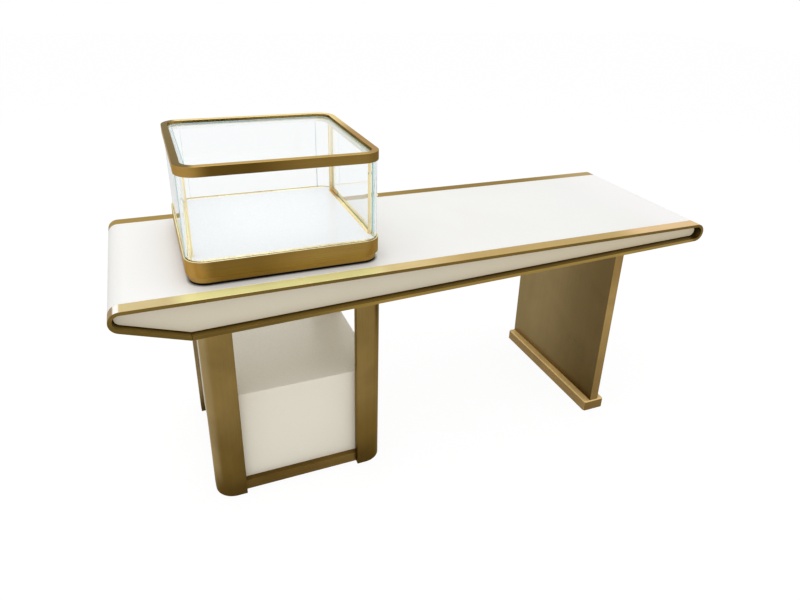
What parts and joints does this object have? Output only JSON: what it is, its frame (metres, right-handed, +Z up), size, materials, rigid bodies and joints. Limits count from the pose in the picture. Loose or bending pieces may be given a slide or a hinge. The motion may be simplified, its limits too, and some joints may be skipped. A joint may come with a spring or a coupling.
{
  "type": "jewelry display counter",
  "caption": "Jewellery sales counter: long brass-edged cream worktop beam on a round-posted cabinet and a slab leg, with a glass showcase whose side door swings.",
  "frame": {"origin": "on the floor, under the middle of the counter's outline", "axes": "+X along the counter to the customer's right, towards the slab leg; +Y from the customer's side to the sales side; +Z up"},
  "size_m": [2, 0.675, 1.1175],
  "materials": {
    "brass": "satin brushed brass, dark antique tone",
    "light_brass": "satin brushed brass, light tone",
    "cream_lacquer": "satin cream lacquer on board",
    "plywood": "raw birch plywood",
    "steel": "zinc-plated steel",
    "rubber": "black rubber",
    "glide_plastic": "black nylon",
    "white_floor": "white satin display floor",
    "cream_ledge": "cream satin",
    "glass": "clear float glass, faint green edge"
  },
  "bodies": {
    "counter": {"front_band": "brass", "rear_band": "brass", "post_front_left": "brass", "post_front_right": "brass", "post_rear_left": "brass", "post_rear_right": "brass", "plinth_long_rails": "brass", "plinth_side_rails": "brass", "leg_cladding": "brass", "case_step": "brass", "case_base_band": "brass", "top_ring": "brass", "door_surround": "brass", "foot_bar": "light_brass", "floor_border": "light_brass", "joint_strips": "light_brass", "worktop": "cream_lacquer", "front_fascia": "cream_lacquer", "rear_fascia": "cream_lacquer", "underside_left": "cream_lacquer", "underside_right": "cream_lacquer", "cabinet_bottom": "cream_lacquer", "cabinet_top": "cream_lacquer", "cabinet_front": "cream_lacquer", "cabinet_side_left": "cream_lacquer", "cabinet_side_right": "cream_lacquer", "inner_shelf": "cream_lacquer", "beam_ribs": "plywood", "leg_core": "plywood", "case_deck": "plywood", "beam_rails": "steel", "steel_uprights": "steel", "fixing_plates": "steel", "fixing_bolts": "steel", "shelf_pins": "steel", "cabinet_pivot_pins": "steel", "leg_plate": "steel", "leg_bolts": "steel", "case_pivot_pins": "steel", "door_magnet": "steel", "case_gasket": "rubber", "floor_glides": "glide_plastic", "display_floor": "white_floor", "ring_ledge": "cream_ledge", "glass_front": "glass", "glass_left": "glass", "glass_rear": "glass", "glass_corner_rear_left": "glass", "glass_corner_rear_right": "glass", "glass_top": "glass"},
    "case_door": {"case_door_stile": "brass", "case_door_glass": "glass", "case_door_pull": "brass", "catch_disc": "steel"},
    "cabinet_door_l": {"cabinet_door_left": "cream_lacquer", "cabinet_knob_left": "brass"},
    "cabinet_door_r": {"cabinet_door_right": "cream_lacquer", "cabinet_knob_right": "brass"}
  },
  "joints": [
    {"name": "case_door_swing", "type": "hinge", "parent": "counter", "child": "case_door", "pos_m": [-0.2455, 0.221, 0.97], "axis": [0, 0, 1], "range_deg": [0, 95]},
    {"name": "cabinet_door_left_swing", "type": "hinge", "parent": "counter", "child": "cabinet_door_l", "pos_m": [-0.681, 0.2735, 0.202], "axis": [0, 0, 1], "range_deg": [0, 90]},
    {"name": "cabinet_door_right_swing", "type": "hinge", "parent": "counter", "child": "cabinet_door_r", "pos_m": [-0.325, 0.2735, 0.202], "axis": [0, 0, -1], "range_deg": [0, 90]}
  ]
}
